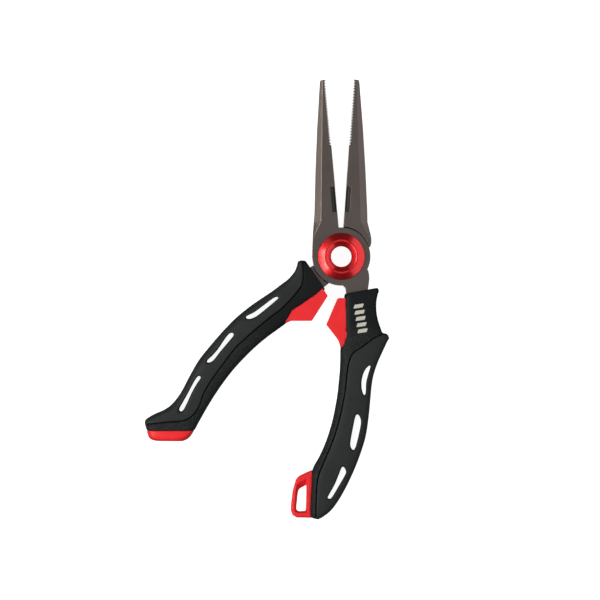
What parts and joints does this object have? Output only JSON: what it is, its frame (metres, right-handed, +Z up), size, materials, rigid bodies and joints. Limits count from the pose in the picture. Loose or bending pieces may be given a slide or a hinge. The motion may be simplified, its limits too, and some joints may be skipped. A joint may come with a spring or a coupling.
{
  "type": "fishing pliers",
  "caption": "Long-nose fishing pliers with a hollow pivot, side cutters in the jaws, soft grips opened by facing magnets, and a lanyard loop.",
  "frame": {"origin": "centre of the open pivot bore, on the plane where the two levers lap", "axes": "pliers lie flat: +Z up along the pivot axis, +Y towards the jaws, +X to the right, jaws part open at rest"},
  "size_m": [0.1136, 0.2045, 0.015],
  "materials": {
    "coated_steel": "satin dark titanium-coloured coating",
    "blade_steel": "ground and darkened",
    "anodised_red": "fine turned, red anodised",
    "bronze": "plain",
    "core_plastic": "satin black moulding",
    "grip_rubber": "soft-touch, matt black",
    "red_plastic": "satin red moulding",
    "magnet_nickel": "nickel plated"
  },
  "bodies": {
    "front_half": {"front_lever": "coated_steel", "front_cutter": "blade_steel", "pivot_bush": "anodised_red", "pivot_nut": "anodised_red", "joint_washer": "bronze", "thrust_washer": "bronze", "right_handle_core": "core_plastic", "right_grip": "grip_rubber", "right_magnet_housing": "red_plastic", "right_magnet": "magnet_nickel", "lanyard_loop": "red_plastic"},
    "rear_half": {"rear_lever": "coated_steel", "rear_cutter": "blade_steel", "left_handle_core": "core_plastic", "left_grip": "grip_rubber", "left_magnet_housing": "red_plastic", "left_magnet": "magnet_nickel", "end_cap": "red_plastic"}
  },
  "joints": [
    {"name": "jaw_pivot", "type": "hinge", "parent": "front_half", "child": "rear_half", "pos_m": [0, 0, 0], "axis": [0, 0, 1], "range_deg": [-30, 8.9], "stiffness_Nm_per_rad": 1}
  ]
}
